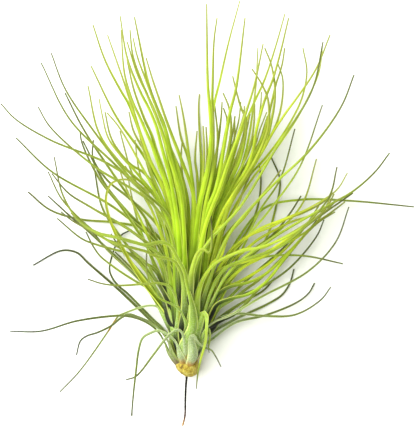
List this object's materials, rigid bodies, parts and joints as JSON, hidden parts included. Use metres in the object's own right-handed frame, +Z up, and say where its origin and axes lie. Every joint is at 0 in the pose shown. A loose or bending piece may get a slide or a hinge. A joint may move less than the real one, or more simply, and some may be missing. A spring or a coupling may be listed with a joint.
{
  "type": "air plant",
  "caption": "Rosette air plant lying on its side: thin channelled leaves fan out from a short tan stem with a dark root.",
  "frame": {"origin": "bottom centre of the plant's box, on the surface that it lies on", "axes": "+Z up from the surface, +Y along the plant from the root to the leaf tips, +X to the plant's right as seen from above"},
  "size_m": [0.2042, 0.2096, 0.07],
  "materials": {
    "dry_stem": "dry, fibrous, matt",
    "dry_root": "dry, smooth, slightly glossy",
    "old_leaf": "silvery scales on green, matt",
    "leaf": "fresh green, satin",
    "young_leaf": "bright lime green, satin"
  },
  "bodies": {
    "root": {"stem_base": "dry_stem", "dry_root": "dry_root", "leaf_01": "old_leaf", "leaf_02": "old_leaf", "leaf_03": "old_leaf", "leaf_04": "old_leaf", "leaf_05": "old_leaf", "leaf_06": "old_leaf", "leaf_07": "old_leaf", "leaf_08": "old_leaf", "leaf_09": "old_leaf", "leaf_10": "old_leaf", "leaf_11": "old_leaf", "leaf_12": "old_leaf", "leaf_13": "old_leaf", "leaf_14": "old_leaf", "leaf_15": "old_leaf", "leaf_16": "old_leaf", "leaf_17": "leaf", "leaf_18": "leaf", "leaf_19": "leaf", "leaf_20": "leaf", "leaf_21": "leaf", "leaf_22": "leaf", "leaf_23": "leaf", "leaf_24": "leaf", "leaf_25": "leaf", "leaf_26": "leaf", "leaf_27": "leaf", "leaf_28": "leaf", "leaf_29": "leaf", "leaf_30": "leaf", "leaf_31": "leaf", "leaf_32": "leaf", "leaf_33": "leaf", "leaf_34": "leaf", "leaf_35": "young_leaf", "leaf_36": "young_leaf", "leaf_37": "young_leaf", "leaf_38": "young_leaf", "leaf_39": "young_leaf", "leaf_40": "young_leaf", "leaf_41": "young_leaf", "leaf_42": "young_leaf", "leaf_43": "young_leaf", "leaf_44": "young_leaf", "leaf_45": "young_leaf", "leaf_46": "young_leaf", "leaf_47": "young_leaf", "leaf_48": "young_leaf", "leaf_49": "young_leaf", "leaf_50": "young_leaf", "leaf_51": "young_leaf", "leaf_52": "young_leaf", "leaf_53": "young_leaf", "leaf_54": "young_leaf", "leaf_55": "young_leaf", "leaf_56": "young_leaf", "leaf_57": "young_leaf", "leaf_58": "young_leaf"}
  },
  "joints": []
}
